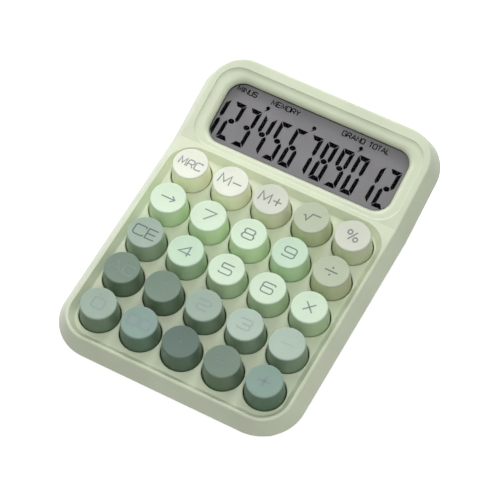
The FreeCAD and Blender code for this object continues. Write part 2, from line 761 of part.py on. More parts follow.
def switch_top():
    """Drafted cover of the switch with the slot that guides the stem."""
    bottom = BOARD_TOP + SWITCH_BASE_HEIGHT
    side = SWITCH_SIDE / 2
    foot = Outline(side, -side, side, 0.0, 0.0)
    cover = plan_loft([(foot, bottom), (inset(foot, SWITCH_TOP_DRAFT), SWITCH_TOP)])
    inner = SWITCH_SIDE - 2 * SWITCH_WALL
    hollow = centred_box(inner, inner, (bottom - PAST, SWITCH_TOP - SWITCH_WALL))
    slot = centred_box(STEM_LENGTH + 2 * STEM_GAP, STEM_WIDTH + 2 * STEM_GAP, (bottom, SWITCH_TOP + PAST))
    return cover.cut([hollow, slot])


def switch_spring():
    """Sleeve that fills the room of the switch's return spring at rest."""
    bottom = BOARD_TOP + SWITCH_FLOOR
    top = stem_levels()[1] - SPRING_END_GAP
    sleeve = rod(SPRING_DIAMETER, bottom, top)
    return sleeve.cut(rod(SPRING_DIAMETER - 2 * SPRING_WIRE, bottom - PAST, top + PAST))


def switch_leaf():
    """Upright contact leaf on the switch floor, beside the stem's flange."""
    floor = BOARD_TOP + SWITCH_FLOOR
    wall = SWITCH_SIDE / 2 - SWITCH_WALL
    back = wall - LEAF_FOOT
    points = [
        Vector(0, wall - STEM_GAP / 2, floor),
        Vector(0, back, floor),
        Vector(0, back, floor + LEAF_HEIGHT),
    ]
    leaf = bent_strip(points[::-1], LEAF_THICKNESS, LEAF_WIDTH, LEAF_BEND)
    return at(leaf, FreeCAD.Placement(Vector(), FreeCAD.Rotation(Z_AXIS, -90)))


def main_board():
    """Board under the switches, with pin holes, boss screws and clearance for the case screws."""
    outline = Outline(BOARD_HALF_X, BOARD_FRONT, BOARD_REAR, BOARD_CORNER, BOARD_CORNER)
    board = plan_prism(outline, BOARD_BOTTOM, BOARD_TOP)
    low, high = BOARD_BOTTOM - PAST, BOARD_TOP + PAST
    holes = on_key_field(rod(SWITCH_PIN_DIAMETER + 2 * PIN_HOLE_GAP, low, high))
    holes += [rod(CASE_SCREW_SHANK + 2 * SCREW_CLEARANCE, low, high, x, y) for x, y in BOSS_PLACES]
    holes += [rod(SMALL_SCREW_SHANK + 2 * SCREW_CLEARANCE, low, high, x, y) for x, y in BOARD_SCREW_PLACES]
    return at(board.cut(holes), DECK)


def controller_chip():
    """Low black dome over the chip, on the underside of the board."""
    radius = CHIP_DIAMETER / 2
    pole = Vector(0, 0, -CHIP_HEIGHT)
    rim = Vector(radius, 0, 0)
    edges = [dome_arc(pole, rim)] + chain([rim, Vector(), pole])
    place = Vector(0, CHIP_ROW * KEY_PITCH, BOARD_BOTTOM)
    return at(revolved(edges), DECK * FreeCAD.Placement(place, FreeCAD.Rotation()))


def display_window():
    """Clear window bonded into its rebate behind the opening."""
    return at(plan_prism(inset(OPENING, -WINDOW_LAP), CEILING, WINDOW_TOP), DISPLAY)


def panel_outline(margin):
    """Square-cornered outline of the display panel, widened by a margin."""
    widened = inset(OPENING, -PANEL_LAP - margin)
    return widened._replace(front_corner=0.0, rear_corner=0.0)


def lcd_panel():
    """Glass panel behind the window."""
    return at(plan_prism(panel_outline(0), PANEL_BOTTOM, PANEL_TOP), DISPLAY)


def lcd_bracket():
    """Tray that clamps the panel to the case, with four screw ears and a slot for the ribbon."""
    floor_top = PANEL_BOTTOM - PANEL_GAP / 2
    bottom = floor_top - BRACKET_FLOOR
    pocket = panel_outline(PANEL_GAP)
    tray = plan_prism(inset(pocket, -BRACKET_WALL), bottom, CEILING)
    ear_bottom = CEILING - BRACKET_EAR_THICKNESS
    inner_x = pocket.half_x + BRACKET_WALL / 2
    ears = []
    for x, y in EAR_PLACES:
        span = sorted((math.copysign(inner_x, x), x))
        arm = box(span, (y - BRACKET_EAR_RADIUS, y + BRACKET_EAR_RADIUS), (ear_bottom, CEILING))
        ears += [arm, rod(2 * BRACKET_EAR_RADIUS, ear_bottom, CEILING, x, y)]
    body = fused([tray] + ears)
    cutters = [plan_prism(pocket, floor_top, CEILING + PAST)]
    slot_half = RIBBON_WIDTH / 2 + RIBBON_SLOT_GAP
    slot_rear = pocket.front + RIBBON_LAP + RIBBON_SLOT_GAP
    slot_span = (pocket.front - BRACKET_WALL - PAST, slot_rear)
    cutters.append(box((-slot_half, slot_half), slot_span, (bottom - PAST, floor_top + PANEL_GAP / 2)))
    hole = SMALL_SCREW_SHANK + 2 * SCREW_FIT
    cutters += [rod(hole, ear_bottom - PAST, CEILING + PAST, x, y) for x, y in EAR_PLACES]
    return at(body.cut(cutters), DISPLAY)


def lcd_ribbon():
    """Flat ribbon from the panel's front edge, down to its land on the board."""
    to_deck = DECK.inverse() * DISPLAY
    pocket = panel_outline(PANEL_GAP)
    panel_end = to_deck * Vector(0, pocket.front + RIBBON_LAP, PANEL_BOTTOM)
    panel_edge = to_deck * Vector(0, pocket.front - BRACKET_WALL, PANEL_BOTTOM)
    board_end = Vector(0, BOARD_REAR - RIBBON_LAP, BOARD_TOP + RIBBON_THICKNESS)
    board_edge = Vector(0, BOARD_REAR + RIBBON_BEND, BOARD_TOP + RIBBON_THICKNESS)
    points = [panel_end, panel_edge, board_edge, board_end]
    return at(bent_strip(points, RIBBON_THICKNESS, RIBBON_WIDTH, RIBBON_BEND), DECK)


def screw(shank, length, head, head_height):
    """Screw that points up from its head's seat at the origin, with a cross drive in its head."""
    edge = head_height / 4
    profile = [
        Vector(0, 0, length),
        Vector(shank / 2, 0, length),
        Vector(shank / 2, 0, 0),
        Vector(head / 2, 0, 0),
        Vector(head / 2, 0, edge - head_height),
        Vector(head / 2 - edge, 0, -head_height),
        Vector(0, 0, -head_height),
        Vector(0, 0, length),
    ]
    slot = (-head_height - PAST, DRIVE_DEPTH - head_height)
    span = head / 2
    drive = [centred_box(span, DRIVE_WIDTH, slot), centred_box(DRIVE_WIDTH, span, slot)]
    return revolved(chain(profile)).cut(drive)


def screws_at(places, shape, seat, frame):
    """A group of equal screws, seated at one level of a frame."""
    copies = [at(shape, FreeCAD.Placement(Vector(x, y, seat), FreeCAD.Rotation())) for x, y in places]
    return Part.makeCompound([at(copy, frame) for copy in copies])


def case_screws():
    """Six screws from below, through the posts and the board into the bosses."""
    through_board = screw(
        CASE_SCREW_SHANK,
        CASE_SCREW_WEB + BOARD_THICKNESS + CASE_SCREW_GRIP,
        CASE_SCREW_HEAD,
        CASE_SCREW_HEAD_HEIGHT,
    )
    direct = screw(
        CASE_SCREW_SHANK, CASE_SCREW_WEB + CASE_SCREW_GRIP, CASE_SCREW_HEAD, CASE_SCREW_HEAD_HEIGHT)
    groups = [
        screws_at(BOSS_PLACES, through_board, SCREW_SEAT, DECK),
        screws_at(REAR_BOSS_PLACES, direct, SCREW_SEAT, DECK),
    ]
    return Part.makeCompound([solid for group in groups for solid in group.Solids])


def board_screws():
    """Four small screws that hold the board to the deck."""
    length = BOARD_THICKNESS + SMALL_SCREW_GRIP
    small = screw(SMALL_SCREW_SHANK, length, SMALL_SCREW_HEAD, SMALL_SCREW_HEAD_HEIGHT)
    return screws_at(BOARD_SCREW_PLACES, small, BOARD_BOTTOM, DECK)


def bracket_screws():
    """Four small screws through the bracket's ears."""
    length = BRACKET_EAR_THICKNESS + BRACKET_SCREW_GRIP - PAST / 2
    small = screw(SMALL_SCREW_SHANK, length, SMALL_SCREW_HEAD, SMALL_SCREW_HEAD_HEIGHT)
    return screws_at(EAR_PLACES, small, CEILING - BRACKET_EAR_THICKNESS, DISPLAY)


def battery_cell():
    """Small round cell lying across the case, its nub towards +X."""
    radius = CELL_DIAMETER / 2
    foot = Vector(radius, 0, 0)
    crown = Vector(radius, 0, CELL_BODY_LENGTH)
    low = corner_arc(foot, Vector(), crown, CELL_EDGE_RADIUS)
    high = corner_arc(crown, foot, Vector(0, 0, CELL_BODY_LENGTH), CELL_EDGE_RADIUS)
    nub = CELL_NUB_DIAMETER / 2
    edges = chain([Vector(), low[0]])
    edges.append(Part.Arc(*low).toShape())
    edges += chain([low[2], high[0]])
    edges.append(Part.Arc(*high).toShape())
    edges += chain([
        high[2],
        Vector(nub, 0, CELL_BODY_LENGTH),
        Vector(nub, 0, CELL_LENGTH),
        Vector(0, 0, CELL_LENGTH),
        Vector(),
    ])
    place = FreeCAD.Placement(Vector(-CELL_LENGTH / 2, CELL_Y, CELL_Z), FreeCAD.Rotation(Y_AXIS, 90))
    return at(revolved(edges), place)


def battery_contact(side):
    """Bowed contact strip between one end of the cell and the tub's end wall."""
    wall = TUB_HALF_X - CONTACT_SEAT_GAP
    bow = CELL_LENGTH / 2 + CONTACT_SEAT_GAP
    top = TUB_CEILING - CELL_GAP
    bottom = COVER_THICKNESS + 2 * COVER_GAP + CONTACT_THICKNESS
    points = [
        Vector(0, wall, top),
        Vector(0, wall, bottom),
        Vector(0, bow + CONTACT_BEND, bottom + CONTACT_BEND),
        Vector(0, bow, CELL_Z),
        Vector(0, wall - 3 * CONTACT_THICKNESS, top - CONTACT_BEND),
    ]
    strip = bent_strip(points[::-1], CONTACT_THICKNESS, CONTACT_WIDTH, CONTACT_BEND)
    turn = FreeCAD.Rotation(Z_AXIS, -90 if side > 0 else 90)
    return at(strip, FreeCAD.Placement(Vector(0, CELL_Y, 0), turn))


def battery_leads():
    """The two leads from the contacts to the board."""
    leads = []
    for side in (-1, 1):
        start, length = lead_line(side)
        leads.append(Part.makeCylinder(LEAD_DIAMETER / 2, length, start, Y_AXIS))
    return Part.makeCompound(leads)


def battery_cover():
    """Cover that slides out at the back, with side tongues and finger grooves."""
    plate = box((-COVER_HALF_X, COVER_HALF_X), (COVER_FRONT, PEDESTAL_REAR), (0, COVER_THICKNESS))
    wide = COVER_HALF_X + COVER_TONGUE
    low = COVER_THICKNESS - COVER_TONGUE_THICKNESS
    tongue_span = (COVER_FRONT, PEDESTAL_REAR - PEDESTAL_WALL - COVER_GAP)
    tongue = box((-wide, wide), tongue_span, (low, COVER_THICKNESS))
    grooves = []
    for index in range(GRIP_GROOVES):
        rear = PEDESTAL_REAR - GRIP_SETBACK - index * GRIP_GROOVE_PITCH
        half = GRIP_GROOVE_LENGTH / 2
        span = (rear - GRIP_GROOVE_WIDTH, rear)
        grooves.append(box((-half, half), span, (-PAST, GRIP_GROOVE_DEPTH)))
    return fused([plate, tongue]).cut(grooves).common(pedestal_foot())


def rubber_feet():
    """Four round feet seated in the underside."""
    wide = FOOT_DIAMETER / 2
    tip = Vector(FOOT_TIP_DIAMETER / 2, 0, -FOOT_RISE)
    neck = Vector(wide, 0, 0)
    round_tip = corner_arc(tip, neck, Vector(0, 0, -FOOT_RISE), FOOT_EDGE_RADIUS)
    edges = chain([Vector(0, 0, FOOT_RECESS), Vector(wide, 0, FOOT_RECESS), neck, round_tip[0]])
    edges.append(Part.Arc(*round_tip).toShape())
    edges += chain([round_tip[2], Vector(0, 0, -FOOT_RISE), Vector(0, 0, FOOT_RECESS)])
    foot = revolved(edges)
    places = [FreeCAD.Placement(Vector(x, y, 0), FreeCAD.Rotation()) for x, y in foot_places()]
    return Part.makeCompound([at(foot, place) for place in places])


def switch_group(shape):
    """One copy of a switch piece under every key, as a group of separate solids."""
    return Part.makeCompound([at(copy, DECK) for copy in on_key_field(shape)])


def key_nodes():
    """Each key's cap and stem, as two solids under the key's name."""
    names = [f"key_{name}" for row in KEY_NAMES for name in row]
    caps = on_key_field(key_cap())
    stems = on_key_field(switch_stem())
    return {
        name: Part.makeCompound([at(cap, DECK), at(stem, DECK)])
        for name, cap, stem in zip(names, caps, stems)
    }


def all_nodes():
    """Every node of the calculator in the base frame."""
    nodes = {
        "upper_case": upper_case(),
        "lower_case": lower_case(),
        "display_window": display_window(),
        "lcd_panel": lcd_panel(),
        "lcd_bracket": lcd_bracket(),
        "lcd_ribbon": lcd_ribbon(),
        "main_board": main_board(),
        "controller_chip": controller_chip(),
        "switch_bases": switch_group(switch_base()),
        "switch_tops": switch_group(switch_top()),
        "switch_springs": switch_group(switch_spring()),
        "switch_leaves": switch_group(switch_leaf()),
        "case_screws": case_screws(),
        "board_screws": board_screws(),
        "bracket_screws": bracket_screws(),
        "battery_cell": battery_cell(),
        "battery_plus_contact": battery_contact(1),
        "battery_minus_contact": battery_contact(-1),
        "battery_leads": battery_leads(),
        "battery_cover": battery_cover(),
        "rubber_feet": rubber_feet(),
    }
    nodes.update(key_nodes())
    return nodes


def main():
    """Build every node, set the origin under the middle of the footprint, and write the files."""
    nodes = all_nodes()
    bounds = Part.makeCompound(list(nodes.values())).BoundBox
    shift = Vector(-bounds.Center.x, -bounds.Center.y, -bounds.ZMin)
    os.makedirs("parts", exist_ok=True)
    for name, shape in nodes.items():
        placed = shape.copy()
        placed.translate(shift)
        placed.exportStep(os.path.join("parts", f"{name}.step"))
    print("overall size", [round(size, 2) for size in (bounds.XLength, bounds.YLength, bounds.ZLength)])


main()
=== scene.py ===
"""Looks of the desk calculator: moulded plastics, key legends, the display's segments, light and camera."""
import json
import math

import bpy
from mathutils import Matrix, Vector


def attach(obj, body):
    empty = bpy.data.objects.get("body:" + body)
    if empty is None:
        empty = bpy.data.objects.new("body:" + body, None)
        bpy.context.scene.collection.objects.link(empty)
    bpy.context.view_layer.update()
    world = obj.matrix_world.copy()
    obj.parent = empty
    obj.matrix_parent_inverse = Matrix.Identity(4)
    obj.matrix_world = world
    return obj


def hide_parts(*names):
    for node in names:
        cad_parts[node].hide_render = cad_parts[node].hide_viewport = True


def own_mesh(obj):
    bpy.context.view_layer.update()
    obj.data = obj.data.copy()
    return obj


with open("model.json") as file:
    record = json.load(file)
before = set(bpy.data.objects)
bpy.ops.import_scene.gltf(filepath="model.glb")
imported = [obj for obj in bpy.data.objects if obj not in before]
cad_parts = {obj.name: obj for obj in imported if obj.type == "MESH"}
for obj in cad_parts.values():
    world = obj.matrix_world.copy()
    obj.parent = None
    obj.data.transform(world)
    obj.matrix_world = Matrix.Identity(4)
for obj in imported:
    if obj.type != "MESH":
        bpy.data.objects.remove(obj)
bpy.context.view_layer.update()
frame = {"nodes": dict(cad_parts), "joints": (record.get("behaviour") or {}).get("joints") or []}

MM = 0.001

# The tilted deck and display, as the solids have them
DISPLAY_BEND = math.radians(14.0)
CAP_RISE = 9.0 * MM
CAP_SKIRT = 1.5 * MM
CAP_DISH = 0.3 * MM
CAP_DISH_RADIUS = 7.0 * MM

# Camera fitted to the key tops in the photo, whose frame is 500 pixels wide
FRAME_PIXELS = 500
FOCAL_PIXELS = 2385.6
SENSOR = 36.0
CAMERA_PLACE = Vector((0.2631, -0.4955, 0.8341))
CAMERA_AZIMUTH = math.radians(28.005)
CAMERA_ELEVATION = math.radians(55.53)
CAMERA_ROLL = math.radians(0.687)

# Light: each lamp's place, its size in metres and its power in watts
WORLD_STRENGTH = 0.28
LAMPS = {
    "front_lamp": (Vector((0.35, -0.65, 0.95)), 0.5, 2.45),
    "top_lamp": (Vector((0.12, -0.15, 0.90)), 0.3, 1.3),
    "rear_lamp": (Vector((-0.05, 0.50, 0.50)), 0.25, 1.28),
    "left_rear_lamp": (Vector((-0.24, 0.26, 0.26)), 0.2, 0.52),
    "left_lamp": (Vector((-0.32, 0.04, 0.22)), 0.2, 0.26),
    "right_lamp": (Vector((0.85, -0.35, 0.60)), 0.6, 0.85),
}
FLOOR_SIZE = 6.0
FLOOR_ALBEDO = 0.5
FLOOR_GLOW = 0.8

# Screen colours to the linear values of shaders
SCREEN_FULL = 255
SCREEN_TOE = 0.04045
SCREEN_TOE_SLOPE = 12.92
SCREEN_OFFSET = 0.055
SCREEN_POWER = 2.4

# Colours as screen values of 0 to 255, matched to the photo, with the key plastics in round values
CASE_COLOUR = (208, 217, 191)
# The key plastics are the keys' own colours, which change from row to row, and partly painted light and
# shade: keys of one row differ partly by how light falls on them
IVORY = (230, 235, 220)
STONE = (210, 215, 200)
KHAKI = (185, 195, 170)
MINT = (215, 235, 210)
LEAF = (200, 225, 200)
SAGE = (180, 200, 185)
MOSS = (160, 180, 165)
SLATE = (140, 165, 155)
PINE = (120, 140, 125)
FOREST = (100, 120, 110)
INK_TINT = (0.62, 0.63, 0.68)
FAINT_INK = (138, 134, 156)
FULL = 1.0
FAINT = 0.45
FAINTEST = 0.28
# Painted light and shade on the sides of the key caps: tints that make a cap's side lighter or darker than
# its top
PAINTED_LIGHT_SIDE = (1.08, 1.06, 1.0)
PAINTED_MINT_SIDE = (1.0, 1.02, 0.93)
PAINTED_SHADE_SIDE = (0.88, 0.91, 0.83)
PAINTED_GREY_SHADE_SIDE = (0.91, 0.94, 0.86)
PAINTED_DEEP_SHADE_SIDE = (0.76, 0.8, 0.73)
SEGMENT_COLOUR = (6, 6, 8)
PANEL_COLOUR = (134, 132, 135)
RUBBER_COLOUR = (58, 60, 58)
BOARD_COLOURS = {"Color1": (30, 96, 52), "Color2": (24, 84, 46), "Mortar": (48, 120, 66)}
WINDOW_TINT = (0.98, 0.985, 0.98, 1.0)

# Surfaces: least and greatest roughness, gloss, and the drift of the colour
SATIN = (0.3, 0.4)
SMOOTH = (0.25, 0.35)
GLOSSY = (0.2, 0.3)
WET = (0.18, 0.3)
RUBBER_ROUGH = (0.65, 0.8)
KEY_ROUGH = (0.34, 0.46)
PANEL_ROUGH = (0.32, 0.42)
BOARD_ROUGH = (0.25, 0.4)
METAL_ROUGH = (0.25, 0.42)
WINDOW_ROUGH = (0.0, 0.03)
FLOOR_ROUGH = 0.9
PLASTIC_GLOSS = 0.5
KEY_GLOSS = 0.3
PANEL_GLOSS = 0.0
WINDOW_INDEX = 1.1
MOTTLE = 0.03
INK_MOTTLE = 0.06
RUBBER_MOTTLE = 0.08
SEGMENT_MOTTLE = 0.1
METAL_SHADES = (0.9, 1.05)
KEY_CLOUD_SHADE = 0.94
# Painted shade at the foot of a cap's side, and where in the cap's height the painted side ends and the
# top's own colour starts
PAINTED_SHADE_AT_FOOT = 0.94
SIDE_END = 0.9
TOP_START = 0.96

# Patterns: spots to the metre, where a cloud starts and ends, and the size and depth of a relief
NOISE_DETAIL = 3.0
WIDE_CLOUD = (0.25, 0.75)
CRISP_CLOUD = (0.3, 0.7)
PLASTIC_CLOUDS = 45.0
PLASTIC_SPOTS = 160.0
KEY_CLOUDS = 120.0
KEY_SPOTS = 260.0
METAL_CLOUDS = 300.0
METAL_SPOTS = 900.0
PANEL_CLOUDS = 70.0
PANEL_SPOTS = 700.0
WINDOW_SPOTS = 90.0
BOARD_SPOTS = 200.0
GRAIN_SIZE = 0.35 * MM
GRAIN_DEPTH = 0.003 * MM
PANEL_GRAIN_SIZE = 0.12 * MM
PANEL_GRAIN_DEPTH = 0.001 * MM
METAL_LINE = 0.25 * MM
METAL_WAVER = 1.5
METAL_RELIEF = 0.4
METAL_DEPTH = 0.01 * MM
TRACKS = 90.0
TRACK_WIDTH = 0.03
TRACK_RELIEF = 0.5
TRACK_DEPTH = 0.02 * MM

# Plastics and metals inside: colour, roughness of a plastic, and the nodes that have it
INNER_PLASTICS = {
    "bracket_plastic": ((214, 214, 208), SATIN, ("lcd_bracket",)),
    "ribbon_film": ((190, 130, 60), SMOOTH, ("lcd_ribbon",)),
    "black_resin": ((24, 24, 25), WET, ("controller_chip",)),
    "switch_plastic": ((52, 53, 55), SATIN, ("switch_bases", "switch_tops")),
    "cell_jacket": ((58, 70, 74), GLOSSY, ("battery_cell",)),
    "wire_jacket": ((160, 40, 36), SATIN, ("battery_leads",)),
}
METALS = {
    "spring_steel": ((196, 197, 198), ("switch_springs", "battery_plus_contact", "battery_minus_contact")),
    "contact_brass": ((205, 172, 96), ("switch_leaves",)),
    "screw_steel": ((150, 151, 154), ("case_screws", "board_screws", "bracket_screws")),
}

# Each key: its legend, its plastic, which partly carries painted light and shade, the tint of painted light
# and shade on its side, and how strong its ink is
KEYS = {
    "key_mrc": ("MRC", IVORY, PAINTED_LIGHT_SIDE, FULL),
    "key_m_minus": ("M-", IVORY, PAINTED_LIGHT_SIDE, FULL),
    "key_m_plus": ("M+", STONE, PAINTED_LIGHT_SIDE, FULL),
    "key_sqrt": ("r", KHAKI, PAINTED_LIGHT_SIDE, FULL),
    "key_percent": ("%", STONE, PAINTED_MINT_SIDE, FULL),
    "key_backspace": (">", MINT, PAINTED_MINT_SIDE, FULL),
    "key_7": ("7", MINT, PAINTED_MINT_SIDE, FULL),
    "key_8": ("8", MINT, PAINTED_MINT_SIDE, FULL),
    "key_9": ("9", LEAF, PAINTED_MINT_SIDE, FULL),
    "key_divide": ("/", KHAKI, PAINTED_LIGHT_SIDE, FULL),
    "key_ce": ("CE", MOSS, PAINTED_MINT_SIDE, FULL),
    "key_4": ("4", LEAF, PAINTED_SHADE_SIDE, FULL),
    "key_5": ("5", MINT, PAINTED_SHADE_SIDE, FULL),
    "key_6": ("6", MINT, PAINTED_SHADE_SIDE, FULL),
    "key_multiply": ("x", MINT, PAINTED_SHADE_SIDE, FULL),
    "key_ac": ("AC", PINE, PAINTED_GREY_SHADE_SIDE, FAINTEST),
    "key_1": ("1", PINE, PAINTED_GREY_SHADE_SIDE, FAINTEST),
    "key_2": ("2", MOSS, PAINTED_DEEP_SHADE_SIDE, FAINT),
    "key_3": ("3", SAGE, PAINTED_DEEP_SHADE_SIDE, FAINTEST),
    "key_minus": ("m", SAGE, PAINTED_DEEP_SHADE_SIDE, FAINTEST),
    "key_0": ("o", MOSS, PAINTED_DEEP_SHADE_SIDE, FAINT),
    "key_00": ("00", SLATE, PAINTED_DEEP_SHADE_SIDE, FAINT),
    "key_point": (".", FOREST, PAINTED_MINT_SIDE, FAINT),
    "key_equals": ("=", PINE, PAINTED_GREY_SHADE_SIDE, FAINT),
    "key_plus": ("p", SLATE, PAINTED_DEEP_SHADE_SIDE, FAINT),
}

# Return springs, wound inside the room of the CAD's sleeves
SPRING_SEARCH = 3.0 * MM
SPRING_TURNS = 6
SPRING_STEPS = 14
SPRING_END = 0.1
WIRE_RADIUS = 0.14 * MM
WIRE_SIDES = 6

# Legends: squared, wide strokes in a cell one unit high
LEGEND_HEIGHT = 4.8 * MM
LEGEND_STROKE = 0.6 * MM
LEGEND_LIFT = 0.02 * MM
LEGEND_SPAN = 10.1 * MM
LEGEND_GAP = 0.24
CORNER = 0.26
CORNER_STEPS = 5
MITRE_LIMIT = 0.5
WIDE = 1.08
GLYPHS = {
    "0": (WIDE, [("loop", [(0, 0), (WIDE, 0), (WIDE, 1), (0, 1)])]),
    "1": (0.5, [("bend", [(0, 0.72), (0.5, 1), (0.5, 0)])]),
    "2": (WIDE, [
        ("line", [(0, 0.82), (0, 1), (WIDE, 1), (WIDE, 0.5), (0, 0.5), (0, 0), (WIDE, 0)]),
    ]),
    "3": (WIDE, [
        ("line", [(0, 0.84), (0, 1), (WIDE, 1), (WIDE, 0.5), (0.3, 0.5)]),
        ("line", [(0.3, 0.5), (WIDE, 0.5), (WIDE, 0), (0, 0), (0, 0.16)]),
    ]),
    "4": (1.16, [("bend", [(0.86, 0), (0.86, 1), (0, 0.28), (1.16, 0.28)])]),
    "5": (WIDE, [
        ("bend", [(WIDE, 1), (0.06, 1), (0.02, 0.57)]),
        ("line", [(0, 0.57), (WIDE, 0.57), (WIDE, 0), (0, 0), (0, 0.16)]),
    ]),
    "6": (WIDE, [
        ("line", [(WIDE, 0.85), (WIDE, 1), (0, 1), (0, 0), (WIDE, 0), (WIDE, 0.56), (0.04, 0.56)]),
    ]),
    "7": (1.16, [("bend", [(0, 1), (1.16, 1), (0.34, 0)])]),
    "8": (WIDE, [
        ("loop", [(0, 0), (WIDE, 0), (WIDE, 0.52), (0, 0.52)]),
        ("loop", [(0.07, 0.52), (WIDE - 0.07, 0.52), (WIDE - 0.07, 1), (0.07, 1)]),
    ]),
    "9": (WIDE, [
        ("line", [(0, 0.15), (0, 0), (WIDE, 0), (WIDE, 1), (0, 1), (0, 0.44), (WIDE - 0.04, 0.44)]),
    ]),
    "M": (1.1, [("bend", [(0, 0), (0.1, 1), (0.55, 0.22), (1.0, 1), (1.1, 0)])]),
    "R": (0.95, [
        ("line", [(0, 0), (0, 1), (0.95, 1), (0.95, 0.46), (0, 0.46)]),
        ("bend", [(0.55, 0.46), (0.95, 0)]),
    ]),
    "C": (1.0, [("line", [(1.0, 0.82), (1.0, 1), (0, 1), (0, 0), (1.0, 0), (1.0, 0.18)])]),
    "E": (0.9, [("bend", [(0.9, 1), (0, 1), (0, 0), (0.9, 0)]), ("bend", [(0, 0.5), (0.82, 0.5)])]),
    "A": (1.1, [("bend", [(0, 0), (0.55, 1), (1.1, 0)]), ("bend", [(0.2, 0.34), (0.9, 0.34)])]),
    "D": (0.9, [("line", [(0, 0.5), (0, 1), (0.9, 1), (0.9, 0), (0, 0), (0, 0.5)])]),
    "G": (0.95, [("line", [(0.9, 0.82), (0.9, 1), (0, 1), (0, 0), (0.95, 0), (0.95, 0.5), (0.55, 0.5)])]),
    "I": (0.1, [("bend", [(0.05, 0), (0.05, 1)])]),
    "L": (0.7, [("bend", [(0, 1), (0, 0), (0.7, 0)])]),
    "N": (0.85, [("bend", [(0, 0), (0, 1), (0.85, 0), (0.85, 1)])]),
    "O": (1.0, [("loop", [(0, 0), (1.0, 0), (1.0, 1), (0, 1)])]),
    "S": (0.8, [
        ("line", [(0.8, 0.82), (0.8, 1), (0, 1), (0, 0.5), (0.8, 0.5), (0.8, 0), (0, 0), (0, 0.18)]),
    ]),
    "T": (0.9, [("bend", [(0, 1), (0.9, 1)]), ("bend", [(0.45, 1), (0.45, 0)])]),
    "U": (0.85, [("line", [(0, 1), (0, 0), (0.85, 0), (0.85, 1)])]),
    "Y": (0.9, [("bend", [(0, 1), (0.45, 0.5), (0.9, 1)]), ("bend", [(0.45, 0.5), (0.45, 0)])]),
    "+": (0.84, [("bend", [(0, 0.5), (0.84, 0.5)]), ("bend", [(0.42, 0.08), (0.42, 0.92)])]),
    "-": (0.84, [("bend", [(0, 0.5), (0.84, 0.5)])]),
    "o": (WIDE, [("loop", [(0, 0), (WIDE, 0), (WIDE, 1), (0, 1)]), ("dot", [(0.33, 1.34)])]),
    "p": (1.1, [("bend", [(0, 0.5), (1.1, 0.5)]), ("bend", [(0.55, -0.05), (0.55, 1.05)])]),
    "m": (1.2, [("bend", [(0, 0.5), (1.2, 0.5)])]),
    "x": (0.86, [("bend", [(0, 0.06), (0.86, 0.94)]), ("bend", [(0, 0.94), (0.86, 0.06)])]),
    "/": (1.2, [("bend", [(0, 0.5), (1.2, 0.5)]), ("dot", [(0.6, 0.88)]), ("dot", [(0.6, 0.12)])]),
    "=": (1.1, [("bend", [(0, 0.32), (1.1, 0.32)]), ("bend", [(0, 0.68), (1.1, 0.68)])]),
    ".": (0.2, [("dot", [(0.1, 0.5)])]),
    ">": (1.3, [("bend", [(0, 0.5), (1.3, 0.5)]), ("bend", [(0.94, 0.82), (1.3, 0.5), (0.94, 0.18)])]),
    "r": (1.5, [("bend", [(0, 0.46), (0.18, 0.52), (0.42, 0.06), (0.72, 0.86), (1.5, 0.86)])]),
    "%": (1.1, [
        ("bend", [(0.28, 0.02), (0.82, 0.98)]),
        ("loop", [(0, 0.56), (0.38, 0.56), (0.38, 0.98), (0, 0.98)]),
        ("loop", [(0.72, 0.02), (1.1, 0.02), (1.1, 0.44), (0.72, 0.44)]),
    ]),
}
DOT_RADIUS = 0.095
DOT_STEPS = 16

# Display: digits, marks and words, measured on the panel from the window's front left corner
DIGITS = "123456789012"
DIGIT_PITCH = 7.40 * MM
DIGIT_START = -3.4 * MM
DIGIT_FOOT = 2.5 * MM
DIGIT_WIDTH = 5.5 * MM
DIGIT_HEIGHT = 18.3 * MM
DIGIT_STROKE = 1.75 * MM
DIGIT_SLANT = 0.045
DIGIT_GAP = 0.22 * MM
MARK_HEIGHT = 23.4 * MM
MARK_AFTER = (3, 6, 9)
MARK_SIZE = 0.95 * MM
MARK_ARC = range(-60, 211, 30)
MARK_TAIL = ((-0.3, -0.7), (-1.1, -2.2))
END_POINT = ((-0.9, 0), (0.5, 0), (0.6, 1.4), (-0.8, 1.4))
WINDOW_CORNER = Vector((-42.95 * MM, -14.7 * MM))
WORDS = (
    ("MINUS", 2.7, 11.8),
    ("MEMORY", 19.2, 32.4),
    ("GRAND", 53.0, 63.4),
    ("TOTAL", 65.6, 74.9),
)
WORD_FOOT = 25.6 * MM
WORD_HEIGHT = 2.2 * MM
WORD_STROKE = 0.46 * MM
PRINT_LIFT = 0.03 * MM
# Painted shadow: a dark band round the panel's edge, for the shade under the window's lip
EDGE_SHADOW_LIFT = 0.015 * MM
EDGE_SHADOW_WIDTH = 1.4 * MM
EDGE_SHADOW_CORNER = 7.0 * MM
EDGE_SHADOW_STEPS = 8
SEGMENTS_OF = {
    "0": "abcdef", "1": "bc", "2": "abged", "3": "abgcd", "4": "fgbc",
    "5": "afgcd", "6": "afgcde", "7": "abc", "8": "abcdefg", "9": "abcdfg",
}

# Shapes of the segments, in strokes, or in gaps at the tips of the uprights
FLAT_TAPER = 0.95
FLAT_DEPTH = 1.15
UPRIGHT_TIP = 1.6
UPRIGHT_SHOULDER = 2.4
UPRIGHT_INNER = 0.8
UPRIGHT_POINT = 0.45
UPRIGHT_OUTER = 0.9
OVAL_LENGTH = 0.84
OVAL_HEIGHT = 0.68
OVAL_STEPS = 8


def linear(colour):
    """A screen colour of 0 to 255 as the linear values that shaders take."""
    values = []
    for part in colour:
        share = part / SCREEN_FULL
        if share <= SCREEN_TOE:
            values.append(share / SCREEN_TOE_SLOPE)
        else:
            values.append(((share + SCREEN_OFFSET) / (1 + SCREEN_OFFSET)) ** SCREEN_POWER)
    return (*values, 1.0)


